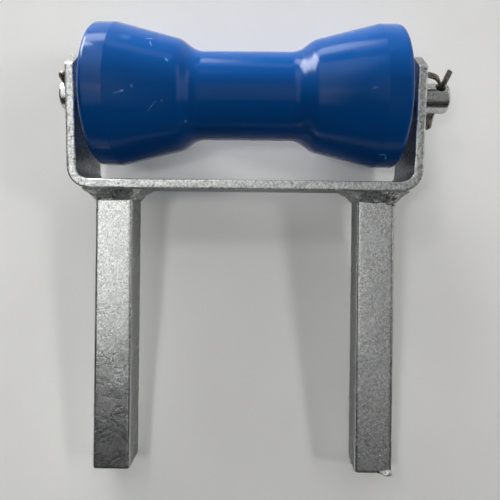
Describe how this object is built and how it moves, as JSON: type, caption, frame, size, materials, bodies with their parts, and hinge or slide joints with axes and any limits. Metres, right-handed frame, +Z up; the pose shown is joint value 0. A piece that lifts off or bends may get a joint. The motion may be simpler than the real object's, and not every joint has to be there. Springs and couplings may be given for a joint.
{
  "type": "keel roller",
  "caption": "Bow-tie keel roller on a loose spindle between the ears of a bent galvanised bracket welded on square stems, for guiding a boat onto a trailer.",
  "frame": {"origin": "midway between the two stems, on the plane of their lower ends", "axes": "+Z up along the stems, towards the roller; +X along the roller's spindle, towards the end where it stands out further; +Y to the back"},
  "size_m": [0.2152, 0.077, 0.2405],
  "materials": {
    "blue_plastic": "moulded, glossy, lightly scuffed",
    "galvanised_steel": "hot-dip galvanised, rough and spangled",
    "galvanised_weld": "hot-dip galvanised over weld ripples",
    "pin_steel": "dull, dark, slightly brown"
  },
  "bodies": {
    "bracket": {"u_bracket": "galvanised_steel", "left_stem": "galvanised_steel", "right_stem": "galvanised_steel", "weld_left_stem_right": "galvanised_weld", "weld_left_stem_rear": "galvanised_weld", "weld_left_stem_left": "galvanised_weld", "weld_left_stem_front": "galvanised_weld", "weld_right_stem_right": "galvanised_weld", "weld_right_stem_rear": "galvanised_weld", "weld_right_stem_left": "galvanised_weld", "weld_right_stem_front": "galvanised_weld"},
    "spindle": {"spindle": "galvanised_steel", "split_pin_left": "pin_steel", "split_pin_right": "pin_steel"},
    "roller": {"roller": "blue_plastic"}
  },
  "joints": [
    {"name": "spindle_turn", "type": "hinge", "parent": "bracket", "child": "spindle", "pos_m": [0, 0, 0.202], "axis": [1, 0, 0], "continuous": true},
    {"name": "roller_spin", "type": "hinge", "parent": "spindle", "child": "roller", "pos_m": [0, 0, 0.202], "axis": [1, 0, 0], "continuous": true}
  ]
}
